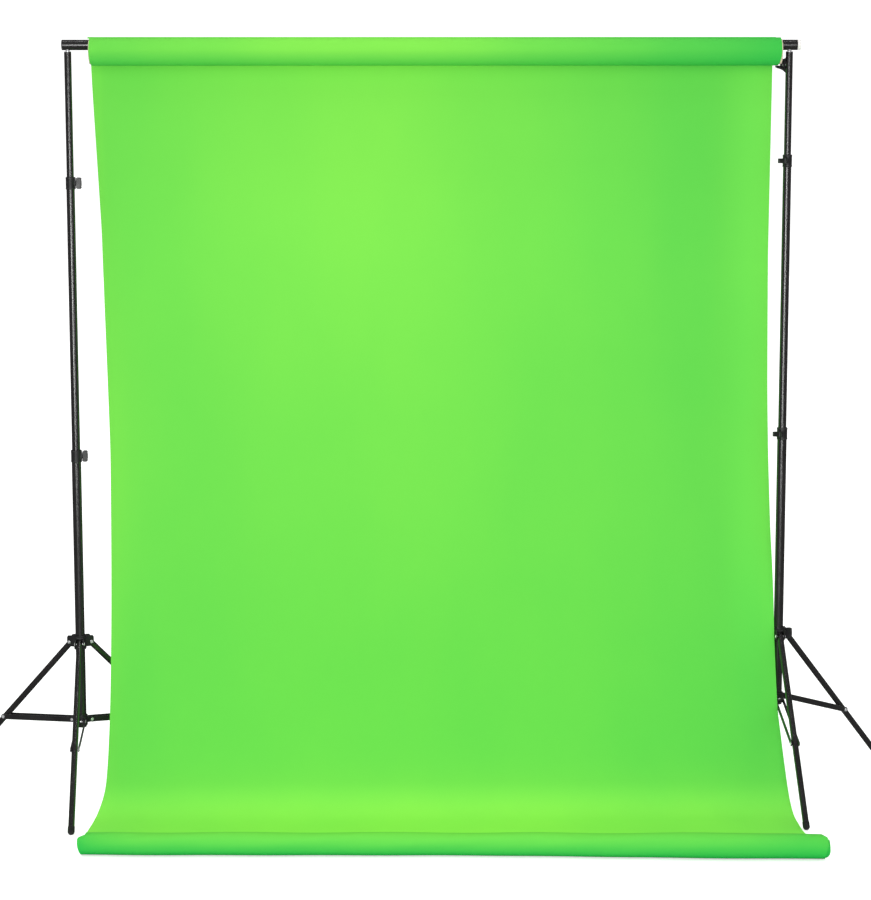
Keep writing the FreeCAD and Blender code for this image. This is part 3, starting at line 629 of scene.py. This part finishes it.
def sheet_material(name, kind):
    """Matt green with painted light and shade: its tone deepens slowly across the width and in
    the folds of the rolls, with faint mottling and a fine felted grain. Kind is sheet, wound or loose."""
    material, b, bsdf = new_material(name)
    vector = b.coord()
    broad = b.noise(vector, scale=2.3, detail=4, roughness=.55, distortion=.3)
    mottle = b.noise(b.coord((1, 1, .35)), scale=9, detail=3)
    grain = b.noise(vector, scale=900, roughness=.6)
    fibre = b.noise(b.coord((1, 1, .12)), scale=420, detail=3, roughness=.7)
    rest = b.node("Attribute", attribute_name="rest")
    x, y, z = b.separate(rest.outputs["Vector"])[0:3]
    geometry = b.node("NewGeometry")
    normal_z = b.separate(geometry.outputs["Normal"])[2]

    if kind == "sheet":
        tone = sheet_painted_shade(b, x, y, z, normal_z)
    elif kind == "wound":
        tone = wound_painted_shade(b, x, normal_z)
    else:
        tone = loose_painted_shade(b, x, normal_z)
    # pattern, range of the noise used, change of tone either way
    for pattern, source, change in ((broad, (.3, .7), .020), (mottle, (.3, .7), .012),
                                    (grain, (.2, .8), .020)):
        tone = b.add(tone, b.remap(pattern, source, to=(-change, change)))
    colour = b.mix(b.node("Clamp", {0: tone}).outputs[0], SHEET_LIT_GREEN, SHEET_SHADED_GREEN)
    if kind == "sheet":
        colour = b.mix(1.0, colour, sheet_light(b, x, y, z), "MULTIPLY")
    else:
        # painted shade: the rolls are made a little darker overall
        colour = b.mix(1.0, colour, (.95, .95, .95), "MULTIPLY")
        normal_x = b.separate(geometry.outputs["True Normal"])[0]
        end_face = b.remap(b.math("ABSOLUTE", normal_x), (.80, .95))
        colour = b.mix(end_face, colour, LAYER_END[kind])
    felt = b.add(b.multiply(grain, .5), b.multiply(fibre, .5))
    uneven = b.bump(mottle, strength=.20, distance=.003)
    b.feed_all(bsdf, {
        "Base Color": colour,
        "Roughness": b.remap(fibre, (.2, .8), to=(.78, .92)),
        "Specular IOR Level": .08,
        "Normal": b.bump(felt, strength=.30, distance=.0002, Normal=uneven)})
    return material


# ------------------------------------------------------------------ the stand's materials
def tube_material(name, rough):
    """Satin black powder coat: fine orange peel, faint lengthwise scuffs, worn bright lips."""
    material, b, bsdf = new_material(name)
    vector = b.coord()
    peel = b.noise(vector, scale=1100)
    streaks = b.noise(b.coord((40, 40, 1.4)), scale=9, detail=4, roughness=.6)
    cloud = b.noise(vector, scale=12, detail=3)
    wear = b.edge(.0007)
    scuff = b.remap(streaks, (.62, .75))
    colour = b.mix(b.remap(cloud, (.3, .7)), (.0088, .0080, .0084), (.01375, .0120, .0126))
    colour = b.mix(b.multiply(scuff, .12), colour, (.07, .067, .067))
    colour = b.mix(b.multiply(wear, .55), colour, (.42, .41, .40))
    gloss = b.remap(cloud, (.2, .8), to=(rough - .05, rough + .07))
    b.feed_all(bsdf, {
        "Base Color": colour,
        "Roughness": b.add(gloss, b.multiply(scuff, .10)),
        "Metallic": b.multiply(wear, .6),
        "Specular IOR Level": 1.0,
        "Normal": b.bump(peel, strength=.25, distance=.00006)})
    return material


def plastic_material(name, base, rough, grain_scale):
    """Moulded plastic: fine spark-eroded grain, softly paler edges, slightly uneven gloss."""
    material, b, bsdf = new_material(name)
    vector = b.coord()
    grain = b.noise(vector, scale=grain_scale, roughness=.6)
    cloud = b.noise(vector, scale=35, detail=3)
    wear = b.edge(.0009, (.03, .3))
    colour = b.mix(b.remap(cloud, (.3, .7)), tuple(c * .8 for c in base),
                   tuple(c * 1.25 for c in base))
    b.feed_all(bsdf, {
        "Base Color": b.mix(b.multiply(wear, .45), colour, (.16, .155, .16)),
        "Roughness": b.remap(cloud, (.2, .8), to=(rough - .06, rough + .08)),
        "Normal": b.bump(grain, strength=.35, distance=.00008)})
    return material


def chrome_material(name):
    """Bright plated steel with hairline polish marks and a slightly hazy surface."""
    material, b, bsdf = new_material(name)
    vector = b.coord()
    hairline = b.noise(b.coord((1, 1, 14)), scale=260, detail=3, roughness=.6)
    haze = b.noise(vector, scale=60, detail=3)
    b.feed_all(bsdf, {
        "Base Color": b.mix(b.remap(haze, (.35, .7)), (.86, .86, .87), (.70, .70, .72)),
        "Metallic": .6,
        "Roughness": b.remap(haze, (.2, .8), to=(.14, .28)),
        "Normal": b.bump(hairline, strength=.12, distance=.00004)})
    return material


def steel_strip_material(name):
    """Black painted pressed strip; bare steel shows raggedly on the sheared edges."""
    material, b, bsdf = new_material(name)
    vector = b.coord()
    cloud = b.noise(vector, scale=30, detail=3)
    fine = b.noise(vector, scale=800)
    edge = b.edge(.0006, (.015, .16))
    ragged = b.remap(b.noise(vector, scale=140, detail=3, roughness=.6), (.3, .6), to=(.35, 1))
    wear = b.multiply(edge, ragged)
    colour = b.mix(b.remap(cloud, (.3, .7)), (.011, .0105, .011), (.018, .017, .018))
    b.feed_all(bsdf, {
        "Base Color": b.mix(b.multiply(wear, .85), colour, (.55, .54, .53)),
        "Metallic": b.multiply(wear, .85),
        "Roughness": b.remap(cloud, (.2, .8), to=(.36, .50)),
        "Normal": b.bump(fine, strength=.25, distance=.00006)})
    return material


def rubber_material(name):
    """Black rubber, dusty and a little paler next to the floor."""
    material, b, bsdf = new_material(name)
    vector = b.coord()
    dust = b.noise(vector, scale=90, detail=4, roughness=.65)
    grain = b.noise(vector, scale=1300, roughness=.6)
    low = b.remap(b.separate(vector)[2], (.001, .012), to=(1, 0))
    colour = b.mix(b.remap(dust, (.3, .75)), (.009, .009, .0095), (.022, .0215, .021))
    b.feed_all(bsdf, {
        "Base Color": b.mix(b.multiply(low, .18), colour, (.10, .095, .09)),
        "Roughness": b.remap(dust, (.2, .8), to=(.68, .86)),
        "Specular IOR Level": .3,
        "Normal": b.bump(grain, strength=.4, distance=.0001)})
    return material


def end_cap_material(name):
    """The right cap is pale moulded plastic, the left one black."""
    material, b, bsdf = new_material(name)
    vector = b.coord()
    cloud = b.noise(vector, scale=60, detail=3)
    grain = b.noise(vector, scale=1500, roughness=.6)
    right = b.remap(b.separate(vector)[0], (-.01, .01))
    pale = b.mix(b.remap(cloud, (.3, .7)), (.70, .68, .66), (.82, .80, .78))
    dark = b.mix(b.remap(cloud, (.3, .7)), (.012, .0115, .012), (.020, .019, .0195))
    b.feed_all(bsdf, {
        "Base Color": b.mix(right, dark, pale),
        "Roughness": b.remap(cloud, (.2, .8), to=(.38, .52)),
        "Normal": b.bump(grain, strength=.3, distance=.00008)})
    return material


def board_material(name, turns_per_metre=9.5):
    """Spiral-wound cardboard: fibrous brown paper with the winding's joint lines."""
    material, b, bsdf = new_material(name)
    vector = b.coord()
    x, y, z = b.separate(vector)[0:3]
    angle = b.math("ARCTAN2", b.subtract(z, ROLL_Z), y)
    winding = b.add(b.multiply(x, turns_per_metre), b.math("DIVIDE", angle, 2 * math.pi))
    from_middle = b.math("ABSOLUTE", b.subtract(b.math("FRACT", winding), .5))
    joint = b.remap(from_middle, (.47, .5))
    fibre = b.noise(b.coord((1, 6, 6)), scale=160, detail=4, roughness=.65)
    blot = b.noise(vector, scale=25, detail=3)
    colour = b.mix(b.remap(fibre, (.25, .75)), (.50, .40, .28), (.70, .60, .46))
    colour = b.mix(b.remap(blot, (.35, .7), to=(0, .35)), colour, (.78, .71, .60))
    height = b.subtract(fibre, b.multiply(joint, 1.5))
    b.feed_all(bsdf, {
        "Base Color": b.mix(b.multiply(joint, .55), colour, (.26, .20, .13)),
        "Roughness": .85,
        "Normal": b.bump(height, strength=.5, distance=.0002)})
    return material


MATERIALS = {
    "black_tube": tube_material("black_tube_satin", rough=.21),
    "crossbar_paint": tube_material("crossbar_black_satin", rough=.26),
    "black_casting": plastic_material("black_casting_grained", base=(.013, .0125, .0135),
                                      rough=.42, grain_scale=1500),
    "knob_plastic": plastic_material("knob_black_plastic", base=(.011, .011, .0117),
                                     rough=.32, grain_scale=900),
    "brace_steel": steel_strip_material("brace_painted_steel"),
    "chrome_parts": chrome_material("chrome_plate"),
    "foot_rubber": rubber_material("foot_black_rubber"),
    "end_cap_plastic": end_cap_material("end_cap_plastic_two_tone"),
    "core_board": board_material("core_spiral_board"),
    "clamp_plastic": plastic_material("clamp_black_nylon", base=(.012, .0115, .012),
                                      rough=.34, grain_scale=1100),
    "green_sheet": sheet_material("green_sheet_matt", "sheet"),
}
wound_material = sheet_material("green_sheet_wound", "wound")
loose_material = sheet_material("green_sheet_loose_roll", "loose")

for part in frame["record"]["subparts"]:
    materials = frame["nodes"][part["node"]].data.materials
    materials.clear()
    materials.append(MATERIALS[part["material_slot"]])

sheet_pieces = (sheet_top, sheet_middle, sheet_sweep, sheet_front)
for piece in sheet_pieces:
    piece.data.materials.append(MATERIALS["green_sheet"])
wound_roll.data.materials.append(wound_material)
floor_roll.data.materials.append(loose_material)


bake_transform(sheet_top)
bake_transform(sheet_middle)
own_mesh(sheet_sweep)
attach(sheet_sweep, "left_base")
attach(sheet_front, "left_base")
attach(floor_roll, "left_base")
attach(wound_roll, "roll")
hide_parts("sheet_upper")
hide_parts("sheet_upper")
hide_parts("sheet_lower")
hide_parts("sheet_lower")
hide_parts("sheet_roll")
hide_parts("sheet_floor_roll")


# ------------------------------------------------------------------ floor, light, camera
def studio_floor(half=24.0, count=25, shift_y=6, z=-.0006):
    """A square grid of count x count points, shifted to the back."""
    ticks = [-half + 2 * half * i / (count - 1) for i in range(count)]
    verts = [(x, y + shift_y, z) for y in ticks for x in ticks]
    faces = [(j * count + i, j * count + i + 1, (j + 1) * count + i + 1, (j + 1) * count + i)
             for j in range(count - 1) for i in range(count - 1)]
    return new_mesh("studio_floor", verts, faces)


def studio_floor_material():
    """White floor, brightened for the camera and dark in reflections."""
    material, b, bsdf = new_material("studio_floor_white")
    cloud = b.noise(b.coord(), scale=1.4, detail=3)
    b.feed_all(bsdf, {
        "Base Color": b.mix(b.remap(cloud, (.3, .7)), (.86, .86, .86), (.89, .89, .89)),
        "Roughness": .9,
        "Specular IOR Level": .1})
    rays = b.node("LightPath").outputs
    glow = b.node("Emission", {"Color": (1, 1, 1),
                               "Strength": b.multiply(rays["Is Camera Ray"], .50)})
    bright = b.node("AddShader", {0: bsdf.outputs[0], 1: glow.outputs[0]})
    dim = b.node("BsdfDiffuse", {"Color": (.10, .10, .10)})
    pick = b.node("MixShader", {0: rays["Is Glossy Ray"], 1: bright.outputs[0],
                                2: dim.outputs[0]})
    output = next(n for n in material.node_tree.nodes if n.type == "OUTPUT_MATERIAL")
    b.feed(output.inputs["Surface"], pick.outputs[0])
    return material


def studio_world(strength=1.04, seen=1.2, reflected=.12):
    """White surroundings with their own strengths for camera rays and for reflections."""
    world = bpy.data.worlds.new("studio")
    bpy.context.scene.world = world
    world.use_nodes = True
    b = Shader(world.node_tree)
    rays = b.node("LightPath").outputs
    camera_part = b.multiply(rays["Is Camera Ray"], seen - strength)
    glossy_part = b.multiply(rays["Is Glossy Ray"], reflected - strength)
    b.feed_all(world.node_tree.nodes["Background"], {
        "Color": (1, 1, 1),
        "Strength": b.add(b.add(camera_part, glossy_part), strength)})


def area_light(name, location, aim, width, height, power, spread=math.pi):
    light = bpy.data.lights.new(name, "AREA")
    light.shape = "RECTANGLE"
    light.size, light.size_y = width, height
    light.energy = power
    light.spread = spread
    ob = bpy.data.objects.new(name, light)
    bpy.context.scene.collection.objects.link(ob)
    ob.location = Vector(location) + ORIGIN
    ob.rotation_mode = "QUATERNION"
    ob.rotation_quaternion = (Vector(aim) - Vector(location)).to_track_quat("-Z", "Y")


def add_camera(place, pitch, yaw, roll):
    """Camera at place from ORIGIN, angles in radians: pitch down, yaw to the right."""
    forward = Vector((math.sin(yaw) * math.cos(pitch), math.cos(yaw) * math.cos(pitch),
                      -math.sin(pitch)))
    level = Vector((math.cos(yaw), -math.sin(yaw), 0))
    upright = level.cross(forward)
    right = level * math.cos(roll) + upright * math.sin(roll)
    up = upright * math.cos(roll) - level * math.sin(roll)
    data = bpy.data.cameras.new("camera")
    camera = bpy.data.objects.new("camera", data)
    bpy.context.scene.collection.objects.link(camera)
    camera.matrix_world = Matrix((
        (right.x, up.x, -forward.x, ORIGIN.x + place[0]),
        (right.y, up.y, -forward.y, ORIGIN.y + place[1]),
        (right.z, up.z, -forward.z, place[2]),
        (0, 0, 0, 1)))
    data.sensor_fit = "AUTO"
    data.sensor_width = 36.0
    data.lens = 88.124
    data.clip_start, data.clip_end = .05, 200
    bpy.context.scene.camera = camera


ground = studio_floor()
ground.data.materials.append(studio_floor_material())
studio_world()
area_light("key_softbox", location=(-1.4, -7.2, 1.1), aim=(0, 0, 1.3), width=1.2, height=1.8,
           power=130)
area_light("strip_light", location=(1.5, -5.4, 1.2), aim=(-.2, 0, 1.0), width=.22, height=2.6,
           power=34)
area_light("top_light", location=(0, -.52, 4.5), aim=(0, -.42, 0), width=2.4, height=.25,
           power=3, spread=math.radians(50))
add_camera(place=(-.0501, -6.052, 1.7301), pitch=.1264, yaw=.0113, roll=-.0008)

bpy.context.scene.view_settings.view_transform = "Standard"
bpy.context.scene.view_settings.look = "None"
